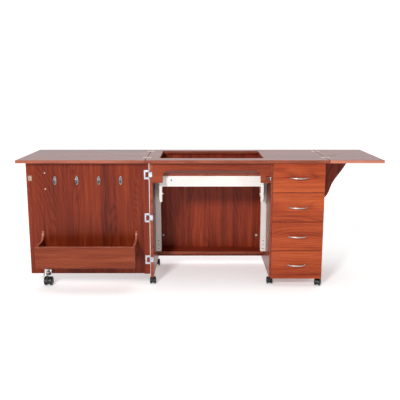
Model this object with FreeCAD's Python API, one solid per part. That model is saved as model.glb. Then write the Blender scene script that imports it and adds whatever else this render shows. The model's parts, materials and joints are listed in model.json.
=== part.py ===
import FreeCAD, Part
import os
from collections import namedtuple
from math import cos, radians, sin
from FreeCAD import Vector

# Sewing cabinet with a folding top, a lift for the machine, a door that swings out under
# the left leaf, four drawers and six castors. Millimetres. While it is drawn, X runs along
# the open tops from their middle, Y runs back from the tops' front edge, and Z is up from
# the floor. In the files the origin is the middle of the whole object's footprint.

# --- driving dimensions -------------------------------------------------------------------

# tops and boards
top_height = 768.0
board = 18.0
top_depth = 555.0
main_top_width = 1062.0
right_leaf_width = 313.0
leaf_gap = 3.0
leaves_meet_gap = 4.0

# carcase
side_overhang = 19.0
front_overhang = 38.0
rear_overhang = 47.0
pedestal_width = 277.0
shelf_depth = 115.0
shelf_above_bottom = 45.0
apron_depth = 46.0
apron_end_depth = 120.0
apron_end_width = 60.0
apron_corner = 40.0

# opening for the machine, and the lift under it
opening_front_margin = 60.0
opening_rear_margin = 22.0
opening_side_margin = 39.0
platform_gap = 2.5
platform_sink = 89.0
platform_short_of_top = 1.0
frame_setback = 3.5
rail_depth = 32.0
rail_width = 40.0
rail_wall = 3.0
rail_slot = 14.0
rail_above_bottom = 102.0
rail_inset = 147.0
sheet = 2.5
beam_height = 64.0
beam_flange = 22.0
carriage_height = 161.0
carriage_flange = 17.5
carriage_gap = 2.0
slider_clearance = 0.5
slider_length = 40.0
latch_hole_radius = 5.0
spring_radius = 11.0
spring_wall = 2.0
spring_rod_radius = 4.0
spring_spare_length = 30.0
spring_x_inset = 14.0
spring_behind_rail = 8.0
spring_foot = 8.0
spring_head = 8.0
rod_end_below_frame = 20.0
rod_cap = 10.0
rod_cap_radius = 7.0
bin_to_lift_gap = 30.0
cover_cap_radius = 7.0
cover_cap_thickness = 3.0
cover_cap_low = 145.0
cover_cap_below_top = 60.0

# drawers
drawer_count = 4
drawer_gap = 3.0
drawer_top_gap = 2.0
drawer_overlap = 8.0
drawer_below_case = 3.0
drawer_front_gap = 1.0
drawer_floor_gap = 3.0
drawer_headroom = 33.0
drawer_rear_gap = 20.0
drawer_board = 12.0
drawer_bottom_board = 6.0
runner_width = 13.0
runner_height = 36.0
runner_wall = 1.5
runner_bar = 19.0
drawer_kept_in = 110.0

# door
door_top_gap = 2.0
door_above_bracket = 1.0
door_drawer_gap = 4.0
stile_width = 33.0
stile_thickness = 10.0
door_pin_gap = 5.0
hinge_leaf = 2.0
hinge_closing_gap = 0.2
frame_leaf_width = 26.0
frame_leaf_height = 54.0
small_leaf_height = 30.0
window_clearance = 0.4
low_hinge_above_bottom = 89.5
high_hinge_below_top = 69.0

# bin, hooks, handle and strike on the door's inner face
bin_depth = 168.0
bin_board = 12.0
bin_floor_board = 9.0
bin_above_door_bottom = 85.0
bin_front_height = 126.0
bin_side_rise = 52.0
bin_free_margin = 75.0
bin_carriage_gap = 3.5
hook_count = 4
hook_pitch = 128.5
hook_below_top = 105.0
strike_below_top = 92.0
strike_margin = 21.0
handle_margin = 109.0
handle_below_top = 108.5

# handles
handle_screw_pitch = 96.0
handle_length = 114.0
handle_reach = 27.0
handle_grip = 8.0
handle_foot = 9.0
handle_thickness = 7.0
screw_radius = 2.0
screw_head_radius = 4.5
screw_head = 2.5

# flush hinges of the leaves, and the hinges of the support wing
leaf_hinge_insets = (130.0, 452.0)
flush_hinge_length = 38.0
flush_hinge_plate = 26.0
flush_hinge_rise = 0.5
flush_knuckle = 3.0
wing_width = 194.0
wing_height = 284.0
wing_top_gap = 1.0
wing_setback = 269.0
wing_hinge_length = 40.0
wing_hinge_plate = 25.0
wing_knuckle = 3.0

# castors: wheel radius, tread of one wheel, web between the wheels, how far the axle trails,
# height above the wheel to the mount
Castor = namedtuple("Castor", "radius tread web trail rise")
case_castor = Castor(20.0, 13.0, 10.0, 18.0, 13.0)
door_castor = Castor(25.0, 19.0, 13.0, 22.0, 23.0)
castor_front_inset = 22.0
castor_rear_inset = 78.0
turned_castor_angle = 155.0
castor_stem = 4.0
castor_axle = 3.0
castor_wheel_gap = 1.0
hood_gap = 1.5
hood_wall = 2.5
socket_length = 30.0
socket_radius = 6.0
socket_flange = 2.0
door_castor_margin = 101.0
door_castor_reach = 22.0
bracket_width = 42.0
bracket_rise = 28.0
bracket_sheet = 3.0

# clearances of pins, shafts and screws
pin_clearance = 0.05
screw_clearance = 0.2
turning_clearance = 0.4

# --- places worked out from them ----------------------------------------------------------

case_bottom = 2 * case_castor.radius + case_castor.rise
bracket_bottom = 2 * door_castor.radius + door_castor.rise
door_bottom = bracket_bottom + door_above_bracket
bin_bottom = door_bottom + bin_above_door_bottom
shelf_bottom = case_bottom + shelf_above_bottom
rail_bottom = case_bottom + rail_above_bottom

left_leaf_width = main_top_width - right_leaf_width - leaves_meet_gap
open_width = left_leaf_width + leaf_gap + main_top_width + leaf_gap + right_leaf_width
tops_left = -open_width / 2
main_left = tops_left + left_leaf_width + leaf_gap
main_right = main_left + main_top_width
tops_right = main_right + leaf_gap + right_leaf_width
under_top = top_height - board

case_left = main_left + side_overhang
case_right = main_right - side_overhang
case_front = front_overhang
case_rear = top_depth - rear_overhang
back_face = case_rear - board
knee_left = case_left + board
pedestal_right = case_right - board
pedestal_left = pedestal_right - pedestal_width
knee_right = pedestal_left - board

opening_left = knee_left + opening_side_margin
opening_right = knee_right - opening_side_margin
opening_front = case_front + opening_front_margin
opening_rear = back_face - opening_rear_margin
platform_top = top_height - platform_sink
frame_top = platform_top - board
beam_bottom = frame_top - beam_height
carriage_bottom = frame_top - carriage_height
frame_front = opening_front + platform_gap + frame_setback
frame_rear = opening_rear - platform_gap - frame_setback
rail_front = opening_front + rail_inset
rail_middle = rail_front + rail_width / 2
rail_rear = rail_front + rail_width

door_pin_x = case_left - door_pin_gap / 2
door_pin_y = case_front - (hinge_leaf + hinge_closing_gap) / 2
drawer_left = pedestal_left - drawer_overlap
door_hinge_edge = door_pin_x - door_pin_gap / 2
door_free_edge = 2 * door_pin_x - (drawer_left - door_drawer_gap)
door_inner = case_front + stile_thickness
door_outer = door_inner + board
door_top = under_top - door_top_gap
hook_height = door_top - hook_below_top
strike_height = door_top - strike_below_top
handle_height = door_top - handle_below_top

carriage_left = knee_left + rail_depth + carriage_gap
carriage_right = knee_right - rail_depth - carriage_gap
bin_left = door_free_edge + bin_free_margin
bin_right = 2 * door_pin_x - (carriage_left + carriage_flange + bin_carriage_gap)
bin_front = door_inner - bin_depth
bin_side_height = bin_front_height + bin_side_rise

lift_rise = platform_sink - platform_short_of_top
spring_y = rail_rear + spring_behind_rail + spring_radius
rod_end_rest = frame_top - rod_end_below_frame
drop_above_bin = beam_bottom - (bin_bottom + bin_side_height) - bin_to_lift_gap
room_for_springs = rod_end_rest - rod_cap - rail_bottom - spring_foot - spring_head
drop_of_springs = (room_for_springs - lift_rise - spring_spare_length) / 2
lift_drop = min(drop_above_bin, drop_of_springs)
spring_length = lift_rise + lift_drop + spring_spare_length
spring_top = rod_end_rest - rod_cap - lift_drop - 3.0
spring_bottom = spring_top - spring_length

fronts_bottom = case_bottom - drawer_below_case
drawer_lift = drawer_below_case + board + drawer_floor_gap
fronts_top = under_top - drawer_top_gap
drawer_pitch = (fronts_top - fronts_bottom + drawer_gap) / drawer_count
front_height = drawer_pitch - drawer_gap
front_inner = case_front - drawer_front_gap
front_outer = front_inner - board
box_left = pedestal_left + runner_width
box_right = pedestal_right - runner_width
box_front = front_inner
box_rear = back_face - drawer_rear_gap
box_height = front_height - drawer_lift - drawer_headroom
drawer_travel = box_rear - box_front - drawer_kept_in

left_pin_x = main_left - leaf_gap / 2
right_pin_x = main_right + leaf_gap / 2
leaf_pin_z = top_height + flush_hinge_rise
wing_rear = wing_setback + board
wing_pin_x = case_right + wing_knuckle + 0.2
wing_pin_y = wing_rear + wing_knuckle + 0.2
wing_top = under_top - wing_top_gap
wing_bottom = wing_top - wing_height

footprint_middle = (bin_front + top_depth) / 2
to_footprint = Vector(0, -footprint_middle, 0)

castor_places = {
    "front_left": (case_left + board / 2, case_front + castor_front_inset, 0.0),
    "rear_left": (case_left + board / 2, case_rear - castor_rear_inset, 0.0),
    "front_middle": (knee_right + board / 2, case_front + castor_front_inset, 0.0),
    "front_right": (case_right - board / 2, case_front + castor_front_inset, turned_castor_angle),
    "rear_right": (case_right - board / 2, case_rear - castor_rear_inset, 0.0),
}
door_castor_place = (door_free_edge + door_castor_margin, door_inner - door_castor_reach, 0.0)

# --- simple shapes ------------------------------------------------------------------------


def block(x0, x1, y0, y1, z0, z1):
    low = Vector(min(x0, x1), min(y0, y1), min(z0, z1))
    return Part.makeBox(abs(x1 - x0), abs(y1 - y0), abs(z1 - z0), low)


def rod(radius, start, end):
    along = end - start
    return Part.makeCylinder(radius, along.Length, start, along)


def tube(outer, inner, start, end):
    return rod(outer, start, end).cut(rod(inner, start, end))


def slab(points, thickness):
    return Part.Face(Part.makePolygon(points + points[:1])).extrude(thickness)


def group(solids):
    return Part.makeCompound(solids)


def barrel_hinge(pin_at, along, length, middle, radius, pin_radius, outer_plate, inner_plate):
    """Two halves of a hinge: the outer half has the end knuckles and the pin, and the inner
    half has the middle knuckle, bored to turn on the pin."""
    ends = pin_at - along * (length / 2), pin_at + along * (length / 2)
    inner_ends = pin_at - along * (middle / 2), pin_at + along * (middle / 2)
    gap = along * turning_clearance
    swept = radius + turning_clearance
    outer = outer_plate.cut(rod(swept, inner_ends[0] - gap, inner_ends[1] + gap))
    inner = inner_plate
    for end, inner_end, side in zip(ends, inner_ends, (-1, 1)):
        outer = outer.fuse(rod(radius, end, inner_end + gap * side))
        inner = inner.cut(rod(swept, end + gap * side, inner_end))
    outer = outer.fuse(rod(pin_radius, ends[0], ends[1])).removeSplitter()
    inner = inner.fuse(rod(radius, inner_ends[0], inner_ends[1]))
    inner = inner.cut(rod(pin_radius + pin_clearance, ends[0], ends[1])).removeSplitter()
    return outer, inner


# --- boards of the carcase ----------------------------------------------------------------


def socket_holes(panel, names):
    for name in names:
        x, y, heading = castor_places[name]
        hole_top = Vector(x, y, case_bottom + socket_length)
        panel = panel.cut(rod(socket_radius, Vector(x, y, case_bottom), hole_top))
    return panel


def left_side_panel():
    panel = block(case_left, knee_left, case_front, case_rear, case_bottom, under_top)
    return socket_holes(panel, ("front_left", "rear_left"))


def partition_panel():
    panel = block(knee_right, pedestal_left, case_front, case_rear, case_bottom, under_top)
    return socket_holes(panel, ("front_middle",))


def right_side_panel():
    panel = block(pedestal_right, case_right, case_front, case_rear, case_bottom, under_top)
    return socket_holes(panel, ("front_right", "rear_right"))


def knee_back_panel():
    return block(knee_left, knee_right, back_face, case_rear, case_bottom, under_top)


def pedestal_back_panel():
    return block(pedestal_left, pedestal_right, back_face, case_rear, case_bottom, under_top)


def bottom_shelf():
    shelf_front = back_face - shelf_depth
    return block(knee_left, knee_right, shelf_front, back_face, shelf_bottom, shelf_bottom + board)


def pedestal_bottom():
    z1 = case_bottom + board
    return block(pedestal_left, pedestal_right, case_front, back_face, case_bottom, z1)


def knee_apron():
    """Board across the front of the knee space, cut to an arch with round corners."""
    rear = case_front + board
    apron = block(knee_left, knee_right, case_front, rear, under_top - apron_end_depth, under_top)
    arch = block(knee_left + apron_end_width, knee_right - apron_end_width, case_front, rear,
                 under_top - apron_end_depth, under_top - apron_depth)
    corners = [edge for edge in arch.Edges
               if edge.Length < board + 1 and edge.BoundBox.ZMin > under_top - apron_depth - 1
               and edge.BoundBox.YLength > 1]
    return apron.cut(arch.makeFillet(apron_corner, corners))


def cam_fasteners():
    """Round cover caps of the fittings that hold the knee space's back."""
    caps = []
    for x in (opening_left - 7.0, opening_right + 2.0):
        for z in (case_bottom + cover_cap_low, under_top - cover_cap_below_top):
            front = Vector(x, back_face - cover_cap_thickness, z)
            caps.append(rod(cover_cap_radius, front, Vector(x, back_face, z)))
    return group(caps)


# --- tops and their flush hinges ----------------------------------------------------------


def leaf_hinge(pin_x, pin_y, outward):
    """One flush hinge. The outer half is on the main top, the inner half on the leaf, which
    is towards outward (-1 or 1)."""
    pin = Vector(pin_x, pin_y, leaf_pin_z)
    half = flush_hinge_length / 2
    bottom = top_height - hinge_leaf
    on_main = block(pin_x, pin_x - outward * flush_hinge_plate, pin_y - half, pin_y + half,
                    bottom, top_height)
    on_leaf = block(pin_x, pin_x + outward * flush_hinge_plate, pin_y - half, pin_y + half,
                    bottom, top_height)
    return barrel_hinge(pin, Vector(0, 1, 0), flush_hinge_length, 13.0, flush_knuckle, 1.5,
                        on_main, on_leaf)


def hinge_seats(top, pin_x, edge_x, inward):
    """Cuts the seats of one edge's hinges: a pocket for each plate and a round groove for
    the knuckles."""
    half = flush_hinge_length / 2
    for pin_y in leaf_hinge_insets:
        top = top.cut(block(edge_x, pin_x + inward * flush_hinge_plate, pin_y - half,
                            pin_y + half, top_height - hinge_leaf, top_height))
        groove_ends = [Vector(pin_x, pin_y + side * (half + 0.5), leaf_pin_z) for side in (-1, 1)]
        top = top.cut(rod(flush_knuckle + turning_clearance, groove_ends[0], groove_ends[1]))
    return top


def main_top():
    top = block(main_left, main_right, 0, top_depth, under_top, top_height)
    top = top.cut(block(opening_left, opening_right, opening_front, opening_rear,
                        under_top, top_height))
    top = hinge_seats(top, left_pin_x, main_left, 1)
    return hinge_seats(top, right_pin_x, main_right, -1)


def left_leaf():
    edge = main_left - leaf_gap
    leaf = block(tops_left, edge, 0, top_depth, under_top, top_height)
    return hinge_seats(leaf, left_pin_x, edge, -1)


def right_leaf():
    edge = main_right + leaf_gap
    leaf = block(edge, tops_right, 0, top_depth, under_top, top_height)
    return hinge_seats(leaf, right_pin_x, edge, 1)


# --- door hinges and support wing ---------------------------------------------------------


def door_hinge(z):
    """A hinge that needs no recess: the small leaf nests in the window of the frame leaf.
    The outer half is the frame leaf, on the door."""
    pin = Vector(door_pin_x, door_pin_y, z)
    rear = case_front
    front = case_front - hinge_leaf
    small_width = board - 1.0
    frame = block(door_hinge_edge - frame_leaf_width, door_pin_x, front, rear,
                  z - frame_leaf_height / 2, z + frame_leaf_height / 2)
    window = block(door_hinge_edge - small_width - window_clearance, door_pin_x, front, rear,
                   z - small_leaf_height / 2 - window_clearance,
                   z + small_leaf_height / 2 + window_clearance)
    small = block(door_pin_x, case_left + small_width, front, rear,
                  z - small_leaf_height / 2, z + small_leaf_height / 2)
    return barrel_hinge(pin, Vector(0, 0, 1), frame_leaf_height, small_leaf_height, 2.4, 1.2,
                        frame.cut(window), small)


def door_hinge_heights():
    low = door_bottom + low_hinge_above_bottom
    high = door_top - high_hinge_below_top
    return low, (low + high) / 2, high


def wing_hinge(z):
    pin = Vector(wing_pin_x, wing_pin_y, z)
    half = wing_hinge_length / 2
    on_case = block(case_right, case_right + hinge_leaf, wing_pin_y,
                    wing_pin_y + wing_hinge_plate, z - half, z + half)
    on_wing = block(wing_pin_x, wing_pin_x + wing_hinge_plate, wing_rear,
                    wing_rear + hinge_leaf, z - half, z + half)
    return barrel_hinge(pin, Vector(0, 0, 1), wing_hinge_length, 14.0, wing_knuckle, 1.5,
                        on_case, on_wing)


def wing_hinge_heights():
    return wing_bottom + 62.0, wing_top - 45.0


def leaf_support_wing():
    """Board under the right leaf, with an ogee outer edge: shares of its width and height."""
    inner = wing_pin_x - 1.2
    shares = ((1.0, 0.0), (0.91, 0.14), (0.68, 0.375), (0.46, 0.62), (0.37, 0.79), (0.24, 0.9),
              (0.0, 1.0))
    places = [Vector(case_right + 2.0 + across * (wing_width - 2.0), wing_setback,
                     wing_top - down * wing_height) for across, down in shares]
    ogee = Part.BSplineCurve()
    ogee.interpolate(places)
    corner = Vector(inner, wing_setback, wing_top)
    edges = [Part.LineSegment(corner, places[0]).toShape(), ogee.toShape(),
             Part.LineSegment(places[-1], corner).toShape()]
    return Part.Face(Part.Wire(edges)).extrude(Vector(0, board, 0))


# --- lift ---------------------------------------------------------------------------------


def lift_rail(face, inward):
    """Upright channel screwed to a side of the knee space, with a slot towards the middle."""
    lip = face + inward * rail_depth
    top = under_top - 2.0
    rail = block(face, lip, rail_front, rail_rear, rail_bottom, top)
    hollow = block(face + inward * rail_wall, lip - inward * rail_wall, rail_front + rail_wall,
                   rail_rear - rail_wall, rail_bottom, top)
    slot = block(lip - inward * rail_wall, lip, rail_middle - rail_slot / 2,
                 rail_middle + rail_slot / 2, rail_bottom, top)
    rail = rail.cut(hollow).cut(slot)
    for rise in (18.0, 44.0, 70.0):
        hole = Vector(face + inward * rail_depth / 2, rail_front, rail_bottom + rise)
        rail = rail.cut(rod(3.0, hole, hole + Vector(0, rail_wall, 0)))
    return rail


def lift_rails():
    return group([lift_rail(knee_left, 1), lift_rail(knee_right, -1)])


def gas_spring_cylinder(face, inward):
    """Closed tube with a guide for the rod at its top, standing on a foot screwed to the
    side of the knee space."""
    x = face + inward * spring_x_inset
    bottom = Vector(x, spring_y, spring_bottom)
    top = Vector(x, spring_y, spring_top)
    up = Vector(0, 0, 1)
    cylinder = rod(spring_radius, bottom, top)
    bore = rod(spring_radius - spring_wall, bottom + up * 3.0, top - up * 6.0)
    guide = rod(spring_rod_radius + pin_clearance, top - up * 6.0, top)
    foot = block(face, x + inward * spring_radius, spring_y - spring_radius,
                 spring_y + spring_radius, spring_bottom - 4.0, spring_bottom)
    return [cylinder.cut(bore).cut(guide), foot]


def gas_spring_cylinders():
    return group(gas_spring_cylinder(knee_left, 1) + gas_spring_cylinder(knee_right, -1))


def gas_spring_rod(face, inward):
    x = face + inward * spring_x_inset
    end = Vector(x, spring_y, rod_end_rest)
    piston_bottom = Vector(x, spring_y, spring_bottom + 5.0 + lift_drop)
    up = Vector(0, 0, 1)
    shaft = rod(spring_rod_radius, piston_bottom, end)
    piston = rod(spring_radius - spring_wall - 0.1, piston_bottom, piston_bottom + up * 8.0)
    cap = rod(rod_cap_radius, end - up * rod_cap, end)
    return shaft.fuse(piston).fuse(cap).removeSplitter()


def gas_spring_rods():
    return group([gas_spring_rod(knee_left, 1), gas_spring_rod(knee_right, -1)])


def lift_platform():
    return block(opening_left + platform_gap, opening_right - platform_gap,
                 opening_front + platform_gap, opening_rear - platform_gap,
                 frame_top, platform_top)


def carriage(outer, inward):
    """Folded side plate of the lift's frame, with the sliders that run in the rail and the
    lug over the gas spring."""
    web = slab([Vector(outer, frame_front, frame_top),
                Vector(outer, frame_front, carriage_bottom + 20.0),
                Vector(outer, frame_front + 14.0, carriage_bottom),
                Vector(outer, rail_rear + 35.0, carriage_bottom),
                Vector(outer, rail_rear + 65.0, beam_bottom),
                Vector(outer, frame_rear, beam_bottom),
                Vector(outer, frame_rear, frame_top)], Vector(inward * sheet, 0, 0))
    inner = outer + inward * carriage_flange
    flange = slab([Vector(outer, frame_front, frame_top),
                   Vector(outer, frame_front, carriage_bottom + 20.0),
                   Vector(outer + inward * 8.0, frame_front, carriage_bottom),
                   Vector(inner, frame_front, carriage_bottom + 4.0),
                   Vector(inner, frame_front, frame_top)], Vector(0, sheet, 0))
    parts = [flange]
    lip = outer - inward * carriage_gap
    neck_half = rail_slot / 2 - slider_clearance
    head_half = rail_width / 2 - rail_wall - slider_clearance
    head_lip = lip - inward * (rail_wall + slider_clearance)
    head_back = lip - inward * (rail_depth - rail_wall - slider_clearance)
    for z in (carriage_bottom + 10.0, frame_top - 60.0):
        top = z + slider_length
        parts.append(block(outer, head_lip, rail_middle - neck_half, rail_middle + neck_half,
                           z, top))
        parts.append(block(head_lip, head_back, rail_middle - head_half, rail_middle + head_half,
                           z, top))
    face = lip - inward * rail_depth
    spring_x = face + inward * spring_x_inset
    parts.append(block(outer, spring_x - inward * 9.0, spring_y - 9.0, spring_y + 9.0,
                       rod_end_rest, rod_end_rest + 4.0))
    knob = Vector(inner - inward * 2.0, frame_front + 8.0, carriage_bottom + 52.0)
    parts.append(rod(5.0, knob, knob + Vector(inward * 8.0, 0, 0)))
    parts.append(block(inner - inward * 4.0, inner, frame_front, frame_front + 14.0,
                       knob.z - 8.0, knob.z + 8.0))
    for part in parts:
        web = web.fuse(part)
    return web


def beam(front, opens):
    """Folded cross channel between the two side plates; opens is 1 to the rear, -1 to the
    front."""
    left = carriage_left + carriage_flange
    right = carriage_right - carriage_flange
    if opens < 0:
        left = carriage_left + sheet
        right = carriage_right - sheet
    channel = block(left, right, front, front + opens * sheet, beam_bottom, frame_top)
    for z in (beam_bottom, frame_top - sheet):
        channel = channel.fuse(block(left, right, front, front + opens * beam_flange, z, z + sheet))
    return channel


def lift_frame():
    """Welded frame under the platform: two side plates and two cross channels."""
    front_beam = beam(frame_front, 1)
    latch_hole = Vector(carriage_left + 73.0, frame_front, beam_bottom + 38.0)
    hole_back = latch_hole + Vector(0, sheet, 0)
    front_beam = front_beam.cut(rod(latch_hole_radius, latch_hole, hole_back))
    frame = carriage(carriage_left, 1).fuse(carriage(carriage_right, -1))
    return frame.fuse(front_beam).fuse(beam(frame_rear, -1)).removeSplitter()


# --- handles and drawers ------------------------------------------------------------------


def bow_handle(board_behind):
    """Bow handle along X on a face at Y = 0, standing out towards -Y, with its two screws
    through the boards behind it. Its screws are separate pieces."""
    half = handle_length / 2
    inner_half = half - handle_foot
    outer_arc = Part.Arc(Vector(-half, 0, 0), Vector(0, -handle_reach, 0), Vector(half, 0, 0))
    inner_arc = Part.Arc(Vector(inner_half, 0, 0), Vector(0, handle_thickness - handle_reach, 0),
                         Vector(-inner_half, 0, 0))
    feet = [Part.LineSegment(Vector(side * half, 0, 0), Vector(side * inner_half, 0, 0)).toShape()
            for side in (1, -1)]
    outline = Part.Wire([outer_arc.toShape(), feet[0], inner_arc.toShape(), feet[1]])
    bow = Part.Face(outline).extrude(Vector(0, 0, handle_grip))
    bow.translate(Vector(0, 0, -handle_grip / 2))
    pieces = [bow]
    for side in (-1, 1):
        foot = Vector(side * handle_screw_pitch / 2, 0, 0)
        back = foot + Vector(0, board_behind, 0)
        screw = rod(screw_radius, foot, back).fuse(
            rod(screw_head_radius, back, back + Vector(0, screw_head, 0)))
        pieces.append(screw)
    return group(pieces)


def handle_holes(board_solid, centre, along):
    """Bores the two screw holes of a handle through a board, across Y."""
    for side in (-1, 1):
        at = centre + along * (side * handle_screw_pitch / 2)
        reach = Vector(0, 200.0, 0)
        board_solid = board_solid.cut(rod(screw_radius + screw_clearance, at - reach, at + reach))
    return board_solid


def drawer_bottom_z(number):
    """Lower edge of a drawer front; number 1 is the top drawer."""
    return fronts_bottom + (drawer_count - number) * drawer_pitch


def drawer_centre(number):
    return Vector((drawer_left + case_right) / 2, front_outer,
                  drawer_bottom_z(number) + front_height / 2)


def drawer_front(number):
    z = drawer_bottom_z(number)
    front = block(drawer_left, case_right, front_outer, front_inner, z, z + front_height)
    return handle_holes(front, drawer_centre(number), Vector(1, 0, 0))


def drawer_box(number):
    """Five boards and the two bars that slide in the runners."""
    z = drawer_bottom_z(number) + drawer_lift
    top = z + box_height
    inner_left = box_left + drawer_board
    inner_right = box_right - drawer_board
    inner_front = box_front + drawer_board
    inner_rear = box_rear - drawer_board
    front = block(inner_left, inner_right, box_front, inner_front, z, top)
    front = handle_holes(front, drawer_centre(number), Vector(1, 0, 0))
    pieces = [
        front,
        block(box_left, inner_left, box_front, box_rear, z, top),
        block(inner_right, box_right, box_front, box_rear, z, top),
        block(inner_left, inner_right, inner_rear, box_rear, z, top),
        block(inner_left, inner_right, inner_front, inner_rear, z, z + drawer_bottom_board),
    ]
    middle = z + box_height / 2
    reach = runner_width - runner_wall - 1.0
    for side, inward in ((box_left, -1), (box_right, 1)):
        pieces.append(block(side, side + inward * reach, box_front + 15.0, box_rear - 10.0,
                            middle - runner_bar / 2, middle + runner_bar / 2))
    return group(pieces)


def drawer_handle(number):
    handle = bow_handle(board + drawer_board)
    handle.translate(drawer_centre(number))
    return handle


def runner_channel(face, inward, middle):
    """C-shaped channel on a side of the drawer space."""
    half = runner_height / 2
    depth = runner_width - 1.5
    rear = box_rear - 12.0
    front = case_front + 6.0
    channel = block(face, face + inward * depth, front, rear, middle - half, middle + half)
    inside = face + inward * runner_wall
    low = middle - half + runner_wall
    high = middle + half - runner_wall
    hollow = block(inside, face + inward * (depth - runner_wall), front, rear, low, high)
    slot_half = runner_bar / 2 + 1.0
    slot = block(inside, face + inward * depth, front, rear, middle - slot_half, middle + slot_half)
    return channel.cut(hollow).cut(slot)


def drawer_runner_channels():
    channels = []
    for number in range(1, drawer_count + 1):
        middle = drawer_bottom_z(number) + drawer_lift + box_height / 2
        channels.append(runner_channel(pedestal_left, 1, middle))
        channels.append(runner_channel(pedestal_right, -1, middle))
    return group(channels)


# --- door ---------------------------------------------------------------------------------


def door_handle_centre():
    return Vector(door_free_edge + handle_margin, door_outer, handle_height)


def door_panel():
    panel = block(door_free_edge, door_hinge_edge, door_inner, door_outer, door_bottom, door_top)
    return handle_holes(panel, door_handle_centre(), Vector(0, 0, 1))


def door_hinge_stile():
    return block(door_hinge_edge - stile_width, door_hinge_edge, case_front, door_inner,
                 door_bottom, door_top)


def door_handle():
    handle = bow_handle(board)
    origin = Vector(0, 0, 0)
    handle.rotate(origin, Vector(0, 1, 0), 90)
    handle.rotate(origin, Vector(0, 0, 1), 180)
    handle.translate(door_handle_centre())
    return handle


def bin_panel(x0, x1):
    """Side of the bin: level along its top, then a hollow quarter round up to the door."""
    rear = door_inner
    front = bin_front + bin_board
    side = block(x0, x1, front, rear, bin_bottom, bin_bottom + bin_side_height)
    level = bin_bottom + bin_front_height
    scoop = block(x0, x1, front, rear - bin_side_rise, level, bin_bottom + bin_side_height)
    centre = Vector(x0, rear - bin_side_rise, level + bin_side_rise)
    round_cut = rod(bin_side_rise, centre, centre + Vector(x1 - x0, 0, 0))
    return side.cut(scoop).cut(round_cut)


def bin_sides():
    return group([bin_panel(bin_left, bin_left + bin_board),
                  bin_panel(bin_right - bin_board, bin_right)])


def bin_front_board():
    return block(bin_left, bin_right, bin_front, bin_front + bin_board,
                 bin_bottom, bin_bottom + bin_front_height)


def bin_bottom_board():
    return block(bin_left + bin_board, bin_right - bin_board, bin_front + bin_board,
                 door_inner, bin_bottom, bin_bottom + bin_floor_board)


def hook_places():
    middle = (bin_left + bin_right) / 2
    first = middle - hook_pitch * (hook_count - 1) / 2
    return [first + hook_pitch * step for step in range(hook_count)]


def door_hook(x):
    """Oval back plate with a bent arm that ends in a ball."""
    plate = Part.makeCylinder(10.0, 3.0)
    squeeze = FreeCAD.Matrix()
    squeeze.A22 = 2.6
    plate = plate.transformGeometry(squeeze)
    plate.rotate(Vector(0, 0, 0), Vector(1, 0, 0), 90)
    arm_z = -14.0
    bend = 8.0
    reach = -26.0
    start = Vector(0, -2.0, arm_z)
    turn = Vector(0, reach + bend, arm_z)
    middle = Vector(0, reach + bend - bend * sin(radians(45)), arm_z + bend - bend * cos(radians(45)))
    rise = Vector(0, reach, arm_z + bend)
    tip = Vector(0, reach, arm_z + bend + 7.0)
    arc = Part.Arc(turn, middle, rise).toShape()
    path = Part.Wire([Part.LineSegment(start, turn).toShape(), arc,
                      Part.LineSegment(rise, tip).toShape()])
    section = Part.Wire([Part.makeCircle(3.0, start, Vector(0, -1, 0))])
    arm = path.makePipeShell([section], True, False)
    hook = plate.fuse(arm).fuse(Part.makeSphere(5.5, tip))
    hook.translate(Vector(x, door_inner, hook_height))
    return hook


def door_hooks():
    return group([door_hook(x) for x in hook_places()])


def strike_x():
    return door_free_edge + strike_margin


def door_strike_plate():
    x = strike_x()
    plate = block(x - 11.0, x + 11.0, door_inner - 1.5, door_inner,
                  strike_height - 15.0, strike_height + 15.0)
    centre = Vector(x, door_inner - 1.5, strike_height)
    return plate.fuse(rod(4.0, centre, centre - Vector(0, 1.0, 0)))


def magnetic_catch():
    """Magnet in a case on the apron, just short of the closed door's strike plate."""
    x = 2 * door_pin_x - strike_x()
    strike_closed = 2 * door_pin_y - (door_inner - 2.5)
    return block(x - 15.0, x + 15.0, strike_closed + 0.5, case_front,
                 strike_height - 12.0, strike_height + 12.0)


def door_castor_bracket():
    """Angle plate on the door's inner face, with a socket for the castor's stem."""
    x, y, heading = door_castor_place
    height = bracket_bottom
    half = bracket_width / 2
    upright = block(x - half, x + half, door_inner - bracket_sheet, door_inner, height,
                    height + bracket_rise)
    level = block(x - half, x + half, y - 19.0, door_inner, height, height + bracket_sheet)
    socket = rod(8.0, Vector(x, y, height), Vector(x, y, height + 20.0))
    bore = rod(castor_stem + pin_clearance, Vector(x, y, height), Vector(x, y, height + 20.0))
    return upright.fuse(level).fuse(socket).cut(bore).removeSplitter()


# --- castors ------------------------------------------------------------------------------


def castor_socket(x, y):
    flange_z = case_bottom - socket_flange
    sleeve_top = Vector(x, y, case_bottom + socket_length)
    sleeve = rod(socket_radius, Vector(x, y, case_bottom), sleeve_top)
    flange = rod(board / 2, Vector(x, y, flange_z), Vector(x, y, case_bottom))
    bore = rod(castor_stem + pin_clearance, Vector(x, y, flange_z), sleeve_top)
    return sleeve.fuse(flange).cut(bore).removeSplitter()


def castor_sockets():
    return group([castor_socket(x, y) for x, y, heading in castor_places.values()])


def castor_half_width(castor):
    return castor.web / 2 + castor_wheel_gap + castor.tread


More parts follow.
